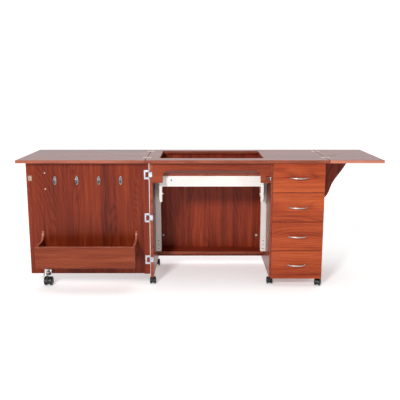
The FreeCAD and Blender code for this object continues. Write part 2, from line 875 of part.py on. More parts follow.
def castor_housing(castor, place, stem_length):
    """Swivel body: a web between the wheels, a hood over them, a boss and the stem. The
    axle is staked in the web."""
    r = castor.radius
    half = castor_half_width(castor)
    side = Vector(1, 0, 0)
    axle = Vector(0, castor.trail, r)
    hood = rod(r + hood_gap + hood_wall, axle - side * half, axle + side * half)
    hood = hood.cut(rod(r + hood_gap, axle - side * half, axle + side * half))
    below = block(-half - 1, half + 1, castor.trail - 2 * r, castor.trail + 2 * r, -r, r + 2.0)
    hood = hood.cut(below)
    web = rod(r + hood_gap + 1.0, axle - side * (castor.web / 2), axle + side * (castor.web / 2))
    arm = block(-castor.web / 2, castor.web / 2, -7.0, castor.trail, r, 2 * r + 4.0)
    web = web.fuse(arm).cut(block(-half, half, -r, 3 * r, -r, 5.0))
    mount = 2 * r + castor.rise
    boss_top = mount - socket_flange - 0.5
    boss = rod(7.0, Vector(0, 0, 1.8 * r), Vector(0, 0, boss_top))
    stem = rod(castor_stem, Vector(0, 0, boss_top - 1.0), Vector(0, 0, mount + stem_length))
    pin = rod(castor_axle, axle - side * half, axle + side * half)
    housing = hood.fuse(web).fuse(boss).fuse(stem).fuse(pin).removeSplitter()
    return placed_castor(housing, place)


def castor_wheels(castor, place):
    """The two wheels on one axle, each with a rounded tread and a dished outer face."""
    r = castor.radius
    wheels = []
    for side in (-1, 1):
        inner = Vector(side * (castor.web / 2 + castor_wheel_gap), castor.trail, r)
        outer = Vector(side * castor_half_width(castor), castor.trail, r)
        wheel = rod(r, inner, outer)
        rims = [edge for edge in wheel.Edges if edge.Curve.TypeId == "Part::GeomCircle"]
        wheel = wheel.makeFillet(2.5, rims)
        dish = tube(r - 5.0, castor_axle + 3.5, outer - Vector(side * 3.0, 0, 0), outer)
        bore = rod(castor_axle + pin_clearance, inner, outer)
        wheels.append(wheel.cut(dish).cut(bore))
    return placed_castor(group(wheels), place)


def placed_castor(shape, place):
    x, y, heading = place
    shape.rotate(Vector(0, 0, 0), Vector(0, 0, 1), heading)
    shape.translate(Vector(x, y, 0))
    return shape


# --- all the pieces -----------------------------------------------------------------------


def all_pieces():
    pieces = {
        "left_side_panel": left_side_panel(),
        "partition_panel": partition_panel(),
        "right_side_panel": right_side_panel(),
        "knee_back_panel": knee_back_panel(),
        "pedestal_back_panel": pedestal_back_panel(),
        "bottom_shelf": bottom_shelf(),
        "pedestal_bottom": pedestal_bottom(),
        "knee_apron": knee_apron(),
        "cam_fasteners": cam_fasteners(),
        "main_top": main_top(),
        "left_leaf": left_leaf(),
        "right_leaf": right_leaf(),
        "leaf_support_wing": leaf_support_wing(),
        "lift_rails": lift_rails(),
        "gas_spring_cylinders": gas_spring_cylinders(),
        "gas_spring_rods": gas_spring_rods(),
        "lift_platform": lift_platform(),
        "lift_frame": lift_frame(),
        "drawer_runner_channels": drawer_runner_channels(),
        "magnetic_catch": magnetic_catch(),
        "caster_sockets": castor_sockets(),
        "door_panel": door_panel(),
        "door_hinge_stile": door_hinge_stile(),
        "door_handle": door_handle(),
        "bin_front": bin_front_board(),
        "bin_sides": bin_sides(),
        "bin_bottom": bin_bottom_board(),
        "door_hooks": door_hooks(),
        "door_strike_plate": door_strike_plate(),
        "door_caster_bracket": door_castor_bracket(),
    }
    left_hinges = [leaf_hinge(left_pin_x, y, -1) for y in leaf_hinge_insets]
    right_hinges = [leaf_hinge(right_pin_x, y, 1) for y in leaf_hinge_insets]
    door_hinges = [door_hinge(z) for z in door_hinge_heights()]
    wing_hinges = [wing_hinge(z) for z in wing_hinge_heights()]
    pieces["main_top_hinge_plates"] = group([fixed for fixed, moving in left_hinges + right_hinges])
    pieces["left_leaf_hinge_plates"] = group([moving for fixed, moving in left_hinges])
    pieces["right_leaf_hinge_plates"] = group([moving for fixed, moving in right_hinges])
    pieces["door_hinge_frames"] = group([frame for frame, small in door_hinges])
    pieces["wing_hinge_leaves"] = group([moving for fixed, moving in wing_hinges])
    pieces["cabinet_hinge_leaves"] = group([small for frame, small in door_hinges]
                                           + [fixed for fixed, moving in wing_hinges])
    for number in range(1, drawer_count + 1):
        pieces[f"drawer_{number}_front"] = drawer_front(number)
        pieces[f"drawer_{number}_box"] = drawer_box(number)
        pieces[f"drawer_{number}_handle"] = drawer_handle(number)
    for name, place in castor_places.items():
        pieces[f"caster_{name}_housing"] = castor_housing(case_castor, place, 26.0)
        pieces[f"caster_{name}_wheels"] = castor_wheels(case_castor, place)
    pieces["door_caster_housing"] = castor_housing(door_castor, door_castor_place, 18.0)
    pieces["door_caster_wheels"] = castor_wheels(door_castor, door_castor_place)
    return pieces


os.makedirs("parts", exist_ok=True)
for node, shape in all_pieces().items():
    shape.translate(to_footprint)
    shape.exportStep(f"parts/{node}.step")
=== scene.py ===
import json
import math
import bmesh
import bpy
from mathutils import Matrix, Vector


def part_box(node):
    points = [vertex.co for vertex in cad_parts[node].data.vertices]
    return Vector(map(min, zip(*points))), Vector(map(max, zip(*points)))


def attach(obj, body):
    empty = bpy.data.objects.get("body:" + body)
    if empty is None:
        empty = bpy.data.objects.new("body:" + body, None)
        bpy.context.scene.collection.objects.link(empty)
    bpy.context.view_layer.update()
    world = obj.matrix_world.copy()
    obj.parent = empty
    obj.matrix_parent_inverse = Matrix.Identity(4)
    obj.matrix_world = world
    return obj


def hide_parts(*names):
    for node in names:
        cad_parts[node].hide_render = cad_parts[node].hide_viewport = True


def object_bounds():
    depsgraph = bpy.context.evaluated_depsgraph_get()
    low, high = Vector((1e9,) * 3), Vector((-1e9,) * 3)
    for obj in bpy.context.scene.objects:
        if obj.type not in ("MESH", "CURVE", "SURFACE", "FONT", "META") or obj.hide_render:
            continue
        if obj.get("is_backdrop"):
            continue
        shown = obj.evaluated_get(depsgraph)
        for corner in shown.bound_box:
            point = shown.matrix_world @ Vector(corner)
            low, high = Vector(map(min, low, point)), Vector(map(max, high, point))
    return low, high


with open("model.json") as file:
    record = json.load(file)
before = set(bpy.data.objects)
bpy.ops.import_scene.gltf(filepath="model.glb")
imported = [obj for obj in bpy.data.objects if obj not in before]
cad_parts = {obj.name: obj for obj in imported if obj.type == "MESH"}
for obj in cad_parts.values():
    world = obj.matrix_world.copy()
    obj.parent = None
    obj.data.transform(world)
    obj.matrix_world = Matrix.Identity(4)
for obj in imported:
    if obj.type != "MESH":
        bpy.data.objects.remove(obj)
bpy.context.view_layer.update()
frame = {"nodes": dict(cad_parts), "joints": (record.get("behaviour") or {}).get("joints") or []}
bpy.ops.object.select_all(action="DESELECT")

# --- Studio -------------------------------------------------------------------------------
# The cabinet stands on white paper, in a white room that is dimmer on the camera's side. The
# main lamp stands high at the front left, with a weak fill at the right and a wide one above.


class Wire:
    """A socket of a shader. Sums written with it add Math nodes, and node() adds any other."""

    def __init__(self, tree, socket=None):
        self.tree = tree
        self.socket = socket

    def node(self, kind, settings, inputs, output=0):
        made = self.tree.nodes.new(kind)
        for name, value in settings.items():
            if name == "stops":
                while len(made.color_ramp.elements) < len(value):
                    made.color_ramp.elements.new(0.5)
                for stop, (place, colour) in zip(made.color_ramp.elements, value):
                    stop.position = place
                    stop.color = colour
            else:
                setattr(made, name, value)
        for key, value in inputs.items():
            if isinstance(value, Wire):
                self.tree.links.new(value.socket, made.inputs[key])
            else:
                made.inputs[key].default_value = value
        return Wire(self.tree, made.outputs[output])

    def math(self, operation, *values):
        return self.node("ShaderNodeMath", {"operation": operation}, dict(enumerate(values)))

    def __add__(self, other):
        return self.math("ADD", self, other)

    def __sub__(self, other):
        return self.math("SUBTRACT", self, other)

    def __rsub__(self, other):
        return self.math("SUBTRACT", other, self)

    def __mul__(self, other):
        return self.math("MULTIPLY", self, other)

    def __pow__(self, other):
        return self.math("POWER", self, other)

    __radd__ = __add__
    __rmul__ = __mul__

    def between(self, low, high):
        """0 below low, 1 above high, and smooth in between."""
        return self.node("ShaderNodeMapRange", {"interpolation_type": "SMOOTHSTEP"},
                         {"Value": self, "From Min": low, "From Max": high})

    def part(self, axis):
        return self.node("ShaderNodeSeparateXYZ", {}, {0: self}, "XYZ".index(axis))

    def colour(self, first, second):
        """The first colour at 0, the second at 1, and a blend of both in between."""
        return self.node("ShaderNodeMix", {"data_type": "RGBA"},
                         {0: self, 6: first, 7: second}, 2)

    def noise(self, scale, detail=2.0, rough=0.5):
        """Cloudy noise over a place, from 0 to 1."""
        return self.node("ShaderNodeTexNoise", {}, {
            "Vector": self, "Scale": scale, "Detail": detail, "Roughness": rough})

    def stretched(self, scale):
        return self.node("ShaderNodeMapping", {}, {"Vector": self, "Scale": scale})


def tone(red, green, blue):
    """A colour given as on a paint chart, 0 to 255, as the shader takes it."""
    share = [value / 255 for value in (red, green, blue)]
    return (*[s / 12.92 if s < 0.04045 else ((s + 0.055) / 1.055) ** 2.4 for s in share], 1.0)


def new_material(name):
    material = bpy.data.materials.new(name)
    material.use_nodes = True
    return material, Wire(material.node_tree), material.node_tree.nodes["Principled BSDF"]


def join(wire, socket):
    wire.tree.links.new(wire.socket, socket)


world = bpy.data.worlds.new("white_room")
bpy.context.scene.world = world
world.use_nodes = True
room = Wire(world.node_tree)
heading = room.node("ShaderNodeTexCoord", {}, {}, "Generated")
glow = 0.04 + 0.9 * heading.part("Y").between(-0.25, 0.45) + 0.1 * heading.part("Z").between(0, 1)
seen = room.node("ShaderNodeLightPath", {}, {}, "Is Camera Ray")
background = world.node_tree.nodes["Background"]
join(room.math("MAXIMUM", glow, 1.1 * seen), background.inputs["Strength"])
background.inputs["Color"].default_value = (1, 1, 1, 1)

bpy.ops.mesh.primitive_grid_add(x_subdivisions=2, y_subdivisions=2, size=60)
floor = bpy.context.object
floor.name = "floor"
paper, shade, surface = new_material("white_paper")
place = shade.node("ShaderNodeTexCoord", {}, {}, "Object")
fleck = place.noise(40.0, 3.0)
join(0.75 + 0.1 * fleck, surface.inputs["Roughness"])
surface.inputs["Base Color"].default_value = (0.93, 0.93, 0.93, 1)
surface.inputs["Specular IOR Level"].default_value = 0.1
near, far = 1.0, 4.0
distance = shade.math("ABSOLUTE", place.part("Y"))
join(distance.between(near, far).colour((0.5, 0.5, 0.5, 1), (1, 1, 1, 1)),
     surface.inputs["Emission Color"])
surface.inputs["Emission Strength"].default_value = 0.68
floor.data.materials.append(paper)
floor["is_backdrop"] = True

lamps = (
    ("key_lamp", (-1.5, -4.4, 2.6), 0.7, 175),
    ("fill_lamp", (3.0, -4.0, 2.0), 2.4, 8),
    ("top_lamp", (0.2, -0.4, 3.6), 2.6, 40),
)
lit_point = Vector((0, 0, 0.45))
for name, at, size, power in lamps:
    lamp = bpy.data.lights.new(name, "AREA")
    lamp.energy = power
    lamp.shape = "SQUARE"
    lamp.size = size
    stand = bpy.data.objects.new(name, lamp)
    stand.location = at
    stand.rotation_euler = (lit_point - Vector(at)).to_track_quat("-Z", "Y").to_euler()
    bpy.context.collection.objects.link(stand)

camera = bpy.data.objects.new("camera", bpy.data.cameras.new("camera"))
camera.data.lens = 53.595
camera.location = (0, -3.6155, 1.2119)
tilt_down = 11.255
camera.rotation_euler = (math.radians(90 - tilt_down), 0, 0)
bpy.context.collection.objects.link(camera)
bpy.context.scene.camera = camera
bpy.context.scene.view_settings.view_transform = "Standard"

# --- Tops ---------------------------------------------------------------------------------
# Three chipboard tops, 18 mm thick, faced with cherry laminate whose grain runs the length
# of the table, and edged with a 2 mm band whose arrises are rounded. The middle one has the
# opening for the machine, and seats are cut for the flush hinges.


def edit(piece):
    bpy.ops.object.select_all(action="DESELECT")
    piece.select_set(True)
    bpy.context.view_layer.objects.active = piece
    bpy.ops.object.mode_set(mode="EDIT")


def pick(piece, kind, test):
    """In edit mode, selects the faces, edges or verts that pass the test."""
    bpy.ops.mesh.select_mode(type={"faces": "FACE", "edges": "EDGE", "verts": "VERT"}[kind])
    bpy.ops.mesh.select_all(action="DESELECT")
    shape = bmesh.from_edit_mesh(piece.data)
    for item in getattr(shape, kind):
        if test(item):
            item.select_set(True)
    bmesh.update_edit_mesh(piece.data)


def done():
    bpy.ops.object.mode_set(mode="OBJECT")


def shell_of(node, name):
    """A copy of a CAD piece with its doubled corners merged and its flat faces whole."""
    piece = bpy.data.objects.new(name, frame["nodes"][node].data.copy())
    piece.data.materials.clear()
    bpy.context.collection.objects.link(piece)
    edit(piece)
    bpy.ops.mesh.select_all(action="SELECT")
    bpy.ops.mesh.remove_doubles(threshold=0.00002)
    bpy.ops.mesh.dissolve_limited(angle_limit=math.radians(1))
    bpy.ops.mesh.select_all(action="DESELECT")
    done()
    return piece


def round_arrises(piece, radius, segments=2, shortest=0.012):
    """Rounds the sharp edges that are longer than the shortest."""
    edit(piece)
    pick(piece, "edges", lambda edge: edge.calc_length() > shortest and len(edge.link_faces) == 2
         and edge.calc_face_angle() > math.radians(35))
    bpy.ops.mesh.bevel(offset=radius, segments=segments, affect="EDGES", clamp_overlap=False)
    done()


def smooth(piece, angle=40):
    """Smooth over the rounded edges, with the flat faces kept flat."""
    bpy.ops.object.select_all(action="DESELECT")
    piece.select_set(True)
    bpy.context.view_layer.objects.active = piece
    bpy.ops.object.shade_smooth_by_angle(angle=math.radians(angle))
    bpy.ops.object.modifier_add(type="WEIGHTED_NORMAL")
    piece.modifiers[-1].keep_sharp = True
    piece.modifiers[-1].weight = 100
    bpy.ops.object.modifier_apply(modifier=piece.modifiers[-1].name)


def face_and_edge(piece, axis, face, edge):
    """Laminate on the faces square to the axis, and banding on the rest."""
    piece.data.materials.append(face)
    piece.data.materials.append(edge)
    for polygon in piece.data.polygons:
        polygon.material_index = 0 if abs(polygon.normal["XYZ".index(axis)]) > 0.95 else 1


def laminate(name, grain, tones, cut, gloss=0.27, figure=1.0, shine=0.15):
    """Printed cherry: growth lines with loops in places, darker and lighter bands, fibres and
    short pores, all drawn out along the grain. The cut says which stretch of the print."""
    material, shade, surface = new_material(name)
    place = shade.node("ShaderNodeTexCoord", {}, {}, "Object")

    def drawn(along, across):
        scale = [along if axis == grain else across for axis in "XYZ"]
        return shade.node("ShaderNodeMapping", {}, {
            "Vector": place, "Location": cut, "Scale": scale})

    sway = drawn(1.5, 7.0).noise(1.0, 2.0)
    slow = drawn(0.9, 3.6).noise(1.0, 1.0)
    across_grain = drawn(0.0, 1.0)
    walk = shade.node("ShaderNodeVectorMath", {"operation": "DOT_PRODUCT"},
                      {0: across_grain, 1: (1.0, 0.8, 1.0)}, "Value")
    lines_per_metre, loops, wander, full_turn = 62.0, 26.0 * figure, 7.0, 6.2832
    turns = walk * lines_per_metre + slow * loops + sway * wander
    wave = shade.math("SINE", turns * full_turn) * 0.5 + 0.5
    lines = wave ** 2.5
    bands = drawn(0.7, 10.0).noise(1.0, 3.0, 0.6)
    threads = drawn(2.4, 55.0).noise(1.0, 3.0, 0.6)
    fibres = drawn(9.0, 420.0).noise(1.0, 2.0, 0.6)
    pores = drawn(28.0, 900.0).noise(1.0, 1.0).between(0.66, 0.76)
    tonality = (0.5 + (bands - 0.5) * 1.15 + (threads - 0.5) * 0.75 + (fibres - 0.5) * 0.5
                - lines * 0.16 - pores * 0.22)
    dark, middle, light = tones
    colour = shade.node("ShaderNodeValToRGB",
                        {"stops": ((0.12, dark), (0.42, middle), (0.78, light))},
                        {"Fac": tonality})
    join(colour, surface.inputs["Base Color"])
    join(gloss + (fibres - 0.5) * 0.16 + pores * 0.12 + (bands - 0.5) * 0.05,
         surface.inputs["Roughness"])
    relief = shade.node("ShaderNodeBump", {}, {
        "Height": fibres * 0.5 - pores * 0.8 - lines * 0.15, "Strength": 0.12,
        "Distance": 0.0006})
    join(relief, surface.inputs["Normal"])
    surface.inputs["Specular IOR Level"].default_value = shine
    return material


def banding(name, tones, gloss=0.3):
    """Thin plastic edge band: the print's colours in fine streaks, and rounded arrises."""
    material, shade, surface = new_material(name)
    place = shade.node("ShaderNodeTexCoord", {}, {}, "Object")
    streaks = place.stretched((5.0, 60.0, 60.0)).noise(1.0, 4.0, 0.6)
    grime = place.noise(9.0, 5.0)
    dark, light = tones
    tonality = 0.5 + (streaks - 0.5) * 1.6 + (grime - 0.5) * 0.6
    join(tonality.between(0.1, 0.9).colour(dark, light), surface.inputs["Base Color"])
    join(gloss + (grime - 0.5) * 0.2, surface.inputs["Roughness"])
    relief = shade.node("ShaderNodeBump", {}, {"Height": streaks, "Strength": 0.05,
                                               "Distance": 0.0004})
    join(relief, surface.inputs["Normal"])
    surface.inputs["Specular IOR Level"].default_value = 0.25
    return material


top_tones = (tone(74, 30, 26), tone(114, 54, 46), tone(144, 76, 64))
top_faces = laminate("top_laminate_print", "X", top_tones, (0.4, 0.1, 0.0), gloss=0.3,
                     shine=0.44)
top_edges = banding("top_edge_band", (tone(121, 53, 34), tone(151, 77, 52)))
left_edges = banding("left_leaf_edge_band", (tone(134, 66, 46), tone(164, 92, 70)))
right_edges = banding("right_leaf_edge_band", (tone(168, 92, 70), tone(204, 132, 110)))
# The ends of the tops that face the gaps between them get a near-black band: painted shade,
# standing for the shadow down in the gaps.
painted_gap_shade = banding("meeting_edge_stain", (tone(30, 16, 12), tone(52, 28, 22)), gloss=0.6)
meeting_lines = [corner.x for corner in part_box("main_top")]
meeting_reach, top_arris, longest_short_edge = 0.0035, 0.0018, 0.05
for node, body, edge in (("main_top", "cabinet", top_edges),
                         ("left_leaf", "left_leaf", left_edges),
                         ("right_leaf", "right_leaf", right_edges)):
    top = shell_of(node, node + "_board")
    round_arrises(top, top_arris, 3, longest_short_edge)
    face_and_edge(top, "Z", top_faces, edge)
    top.data.materials.append(painted_gap_shade)
    # End faces within reach of a line where two tops meet take the painted gap shade.
    for polygon in top.data.polygons:
        away = min(abs(polygon.center.x - line) for line in meeting_lines)
        if away < meeting_reach and abs(polygon.normal.x) > 0.9:
            polygon.material_index = 2
    smooth(top)
    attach(top, body)
    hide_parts(node)

# --- Carcase boards -----------------------------------------------------------------------
# The upright sides, partition and backs of the cabinet, 18 mm laminated chipboard with
# upright grain, held by cam fittings, and edged in front and behind with a thin band.


def board(name, node, thin_axis, face, edge, arris=0.0007):
    """A board in the box of its CAD piece, with its arrises eased."""
    low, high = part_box(node)
    bpy.ops.object.select_all(action="DESELECT")
    bpy.ops.mesh.primitive_cube_add(size=1, location=(low + high) / 2, scale=high - low)
    piece = bpy.context.object
    piece.name = name
    bpy.ops.object.transform_apply(location=True, rotation=True, scale=True)
    edit(piece)
    bpy.ops.mesh.select_all(action="SELECT")
    bpy.ops.mesh.bevel(offset=arris, segments=2, affect="EDGES")
    done()
    face_and_edge(piece, thin_axis, face, edge)
    smooth(piece)
    return piece


panel_tones = (tone(84, 28, 17), tone(128, 48, 28), tone(158, 68, 40))
panel_faces = laminate("panel_laminate_print", "Z", panel_tones, (1.7, 0.3, 0.2), gloss=0.28,
                       shine=0.16)
panel_edges = banding("panel_edge_band", (tone(122, 50, 32), tone(160, 74, 48)))
back_tones = (tone(84, 28, 16), tone(134, 49, 28), tone(165, 67, 38))
back_faces = laminate("back_laminate_print", "Z", back_tones, (4.1, 2.3, 0.7), gloss=0.34)
for node, thin_axis, face in (
        ("left_side_panel", "X", panel_faces), ("partition_panel", "X", panel_faces),
        ("right_side_panel", "X", panel_faces), ("knee_back_panel", "Y", back_faces),
        ("pedestal_back_panel", "Y", back_faces)):
    panel = board(node.replace("panel", "board"), node, thin_axis, face, panel_edges)
    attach(panel, "cabinet")
    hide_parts(node)

# --- Shelf, apron and bottom --------------------------------------------------------------
# Boards whose grain lies level: the narrow shelf at the back of the knee space, the bottom
# under the drawers, and the apron, which is cut out in an arch with round corners.

front_tones = (tone(94, 32, 17), tone(128, 50, 27), tone(153, 69, 37))
shelf_faces = laminate("shelf_laminate_print", "X", back_tones, (0.9, 1.1, 3.0), gloss=0.3)
apron_faces = laminate("apron_laminate_print", "X", front_tones, (2.9, 0.4, 1.3), gloss=0.3)
front_edges = banding("front_edge_band", (tone(116, 49, 30), tone(151, 73, 46)))
for node in ("bottom_shelf", "pedestal_bottom"):
    shelf = board(node + "_board", node, "Z", shelf_faces, front_edges)
    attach(shelf, "cabinet")
    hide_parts(node)
apron = shell_of("knee_apron", "knee_apron_board")
round_arrises(apron, 0.0007)
face_and_edge(apron, "Y", apron_faces, front_edges)
smooth(apron)
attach(apron, "cabinet")
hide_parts("knee_apron")

# --- Door ---------------------------------------------------------------------------------
# One laminated board with upright grain, and a stile glued to its inner face along the
# hinges, so that the open door and the cabinet's front edge lie flush.

door_tones = (tone(81, 25, 11), tone(116, 39, 17), tone(143, 58, 26))
door_faces = laminate("door_laminate_print", "Z", door_tones, (0.35, 0.2, 5.15), gloss=0.3,
                      figure=1.5)
for node in ("door_panel", "door_hinge_stile"):
    panel = board(node + "_board", node, "Y", door_faces, panel_edges)
    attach(panel, "door")
    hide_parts(node)

# --- Bin on the door ----------------------------------------------------------------------
# A trough of 12 mm boards with level grain, screwed to the door: a straight front, two sides
# that sweep up to the door in a hollow curve, and a thin bottom.

bin_tones = (tone(88, 32, 18), tone(122, 51, 29), tone(146, 71, 42))
bin_faces = laminate("bin_laminate_print", "X", bin_tones, (5.2, 0.7, 2.2), gloss=0.3, figure=1.4)
bin_side_faces = laminate("bin_side_laminate_print", "Y", bin_tones, (7.0, 0.3, 1.0), gloss=0.3)
# The bin's band is set lighter than the carcase's: partly its own tone, partly a painted highlight
# for the light its edges catch.
bin_edges = banding("bin_edge_band", (tone(150, 76, 56), tone(190, 116, 92)))
bin_front = board("bin_front_board", "bin_front", "Y", bin_faces, bin_edges)
bin_bottom = board("bin_bottom_board", "bin_bottom", "Z", bin_side_faces, bin_edges)
bin_ends = shell_of("bin_sides", "bin_side_boards")
round_arrises(bin_ends, 0.0007)
face_and_edge(bin_ends, "X", bin_side_faces, bin_edges)
smooth(bin_ends)
for piece, node in ((bin_front, "bin_front"), (bin_bottom, "bin_bottom"),
                    (bin_ends, "bin_sides")):
    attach(piece, "door")
    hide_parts(node)

# --- Drawers ------------------------------------------------------------------------------
# Four drawers: a laminated front, whose level grain runs on from one to the next, screwed to
# a box of pale foil-faced boards that slides in zinc-plated channels.

# The fronts' print is set lighter and more orange than the door's: partly their own tone, partly
# painted light, as the fronts stand forward into the light.
drawer_tones = (tone(116, 41, 20), tone(158, 64, 32), tone(184, 88, 46))
drawer_faces = laminate("drawer_laminate_print", "X", drawer_tones, (0.6, 3.3, 1.9), gloss=0.3,
                        figure=1.2)
drawer_edges = banding("drawer_edge_band", (tone(126, 50, 28), tone(158, 70, 42)))
foil, shade, surface = new_material("pale_foil")
place = shade.node("ShaderNodeTexCoord", {}, {}, "Object")
weave = place.stretched((120.0, 8.0, 120.0)).noise(1.0, 3.0)
join(weave.colour(tone(196, 172, 142), tone(226, 206, 178)), surface.inputs["Base Color"])
join(0.4 + 0.2 * weave, surface.inputs["Roughness"])
zinc, shade, surface = new_material("zinc_plate")
place = shade.node("ShaderNodeTexCoord", {}, {}, "Object")
cloud = place.noise(70.0, 4.0)
join(cloud.colour((0.5, 0.5, 0.52, 1), (0.74, 0.74, 0.75, 1)), surface.inputs["Base Color"])
surface.inputs["Metallic"].default_value = 1.0
join(0.24 + 0.25 * cloud, surface.inputs["Roughness"])
for number in (1, 2, 3, 4):
    body = f"drawer_{number}"
    drawer = board(body + "_front_board", body + "_front", "Y", drawer_faces, drawer_edges)
    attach(drawer, body)
    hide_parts(body + "_front")
    box = frame["nodes"][body + "_box"]
    box.data.materials.clear()
    box.data.materials.append(foil)
runners = shell_of("drawer_runner_channels", "drawer_runners")
round_arrises(runners, 0.0003, 1, 0.02)
runners.data.materials.append(zinc)
smooth(runners)
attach(runners, "cabinet")
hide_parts("drawer_runner_channels")

# --- Leaf support -------------------------------------------------------------------------
# A bracket board with an ogee edge, hinged to the cabinet's right side, that swings out to
# hold the right leaf up.

wing = shell_of("leaf_support_wing", "leaf_support_board")
round_arrises(wing, 0.0007, 2, 0.004)
face_and_edge(wing, "Y", back_faces, panel_edges)
smooth(wing)
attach(wing, "support_wing")
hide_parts("leaf_support_wing")

# --- Lift ---------------------------------------------------------------------------------
# White powder-coated steel: two slotted rails screwed to the sides of the knee space, and a
# folded and welded frame that carries the machine's platform between them.

powder, shade, surface = new_material("white_powder_coat")
place = shade.node("ShaderNodeTexCoord", {}, {}, "Object")
peel = place.noise(900.0)
dust = place.noise(7.0, 5.0)
join(dust.between(0.35, 0.7).colour(tone(232, 226, 221), tone(220, 213, 208)),
     surface.inputs["Base Color"])
join(0.32 + 0.12 * dust, surface.inputs["Roughness"])
join(shade.node("ShaderNodeBump", {}, {"Height": peel, "Strength": 0.12, "Distance": 0.0003}),
     surface.inputs["Normal"])
for node, name, body in (("lift_rails", "lift_rail_channels", "cabinet"),
                         ("lift_frame", "lift_frame_welded", "lift")):
    steel = shell_of(node, name)
    round_arrises(steel, 0.0006, 2, 0.006)
    steel.data.materials.append(powder)
    smooth(steel)
    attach(steel, body)
    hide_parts(node)
platform_faces = laminate("platform_laminate_print", "X", panel_tones, (3.3, 0.5, 4.0), gloss=0.3)
platform = board("lift_platform_board", "lift_platform", "Z", platform_faces, front_edges)
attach(platform, "lift")
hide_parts("lift_platform")

# --- Handles ------------------------------------------------------------------------------
# Bow pulls of die-cast zinc in satin nickel, thin crescents that taper to their feet. Each is
# held by two screws from behind, whose heads show on the door's inner face.


def plated(name, dark, light, rough, scale=60.0, dull=0.2):
    """Plated metal: cloudy in tone and polish, with fine brush marks in the relief."""
    material, shade, surface = new_material(name)
    place = shade.node("ShaderNodeTexCoord", {}, {}, "Object")
    cloud = place.noise(scale, 4.0)
    marks = place.stretched((200.0, 900.0, 900.0)).noise(1.0)
    join(cloud.between(0.3, 0.7).colour(dark, light), surface.inputs["Base Color"])
    surface.inputs["Metallic"].default_value = 1.0
    join(rough + dull * cloud + 0.1 * marks, surface.inputs["Roughness"])
    join(shade.node("ShaderNodeBump", {}, {"Height": marks, "Strength": 0.08, "Distance": 0.0002}),
         surface.inputs["Normal"])
    return material


def lathe(name, profile, centre, axis, steps=40, angle=2 * math.pi):
    """Turns a line of points about an axis. With no window, spin turns against the hand of
    its axis, so it is given the angle's opposite."""
    bpy.ops.object.select_all(action="DESELECT")
    bpy.ops.mesh.primitive_plane_add(size=0.001, location=profile[0])
    piece = bpy.context.object
    piece.name = name
    bpy.ops.object.transform_apply(location=True, rotation=True, scale=True)
    edit(piece)
    bpy.ops.mesh.select_mode(type="VERT")
    bpy.ops.mesh.select_all(action="SELECT")
    bpy.ops.mesh.merge(type="CENTER")
    for last, point in zip(profile, profile[1:]):
        bpy.ops.mesh.extrude_region_move(TRANSFORM_OT_translate={"value": point - last})
    bpy.ops.mesh.select_all(action="SELECT")
    bpy.ops.mesh.spin(steps=steps, angle=-angle, center=centre, axis=axis)
    bpy.ops.mesh.select_all(action="SELECT")
    bpy.ops.mesh.remove_doubles(threshold=0.00001)
    bpy.ops.mesh.normals_make_consistent(inside=False)
    done()
    return piece


def merged(pieces, name):
    """Several shapes as one piece."""
    bpy.ops.object.select_all(action="DESELECT")
    for piece in pieces:
        piece.select_set(True)
    bpy.context.view_layer.objects.active = pieces[0]
    bpy.ops.object.join()
    pieces[0].name = name
    return pieces[0]


def placed_copies(model, places, name):
    """A copy of the model at each place, together one piece. The model itself is removed."""
    made = []
    for place in places:
        copy = bpy.data.objects.new(name, model.data.copy())
        copy.data.transform(place)
        bpy.context.collection.objects.link(copy)
        made.append(copy)
    bpy.data.objects.remove(model)
    return merged(made, name)


def screw_head(radius, height):
    """Pan head on the ground plane, facing up, with a driver's recess."""
    bpy.ops.object.select_all(action="DESELECT")
    bpy.ops.mesh.primitive_cylinder_add(vertices=20, radius=radius, depth=height,
                                        location=(0, 0, height / 2))
    head = bpy.context.object
    bpy.ops.object.transform_apply(location=True, rotation=True, scale=True)
    edit(head)
    pick(head, "faces", lambda face: face.normal.z > 0.9)
    bpy.ops.mesh.bevel(offset=height * 0.45, segments=3, affect="EDGES")
    pick(head, "faces", lambda face: face.normal.z > 0.99 and len(face.verts) > 8)
    bpy.ops.mesh.inset(thickness=radius * 0.28, depth=0)
    bpy.ops.mesh.inset(thickness=radius * 0.12, depth=-height * 0.5)
    done()
    head.data.materials.clear()
    return head


def turned(axis, degrees):
    return Matrix.Rotation(math.radians(degrees), 4, axis)


nickel = plated("satin_nickel_plate", (0.46, 0.44, 0.42, 1), (0.66, 0.64, 0.61, 1), 0.26)
reach, half_length, bow_thickness, bow_height = 0.0255, 0.055, 0.0052, 0.0078
bow_radius = (half_length ** 2 + reach ** 2) / (2 * reach)
bow_half_angle = math.asin(half_length / bow_radius)
bow_centre = Vector((0, bow_radius - reach, 0))
half_pitch, foot_height, bow_taper, sides = 0.048, 0.004, 0.42, 15
ring = [Vector((0, -reach + 0.5 * bow_thickness * math.cos(a), 0.5 * bow_height * math.sin(a)))
        for a in [math.radians(360 / sides * step) for step in range(sides)]]
start = Matrix.Translation(bow_centre) @ turned("Z", -math.degrees(bow_half_angle)) \
    @ Matrix.Translation(-bow_centre)
ring = [start @ point for point in ring]
bow = lathe("bow", ring + ring[:1], bow_centre, (0, 0, 1), 22, 2 * bow_half_angle)
edit(bow)
bpy.ops.mesh.select_all(action="SELECT")
bpy.ops.mesh.fill_holes(sides=0)
bpy.ops.mesh.normals_make_consistent(inside=False)
done()
for vert in bow.data.vertices:
    out = vert.co - bow_centre
    share = abs(math.atan2(out.x, -out.y)) / bow_half_angle
    spine = bow_centre + Vector((out.x, out.y, 0)).normalized() * bow_radius
    vert.co = spine + (vert.co - spine) * (1 - bow_taper * share ** 2)
feet = []
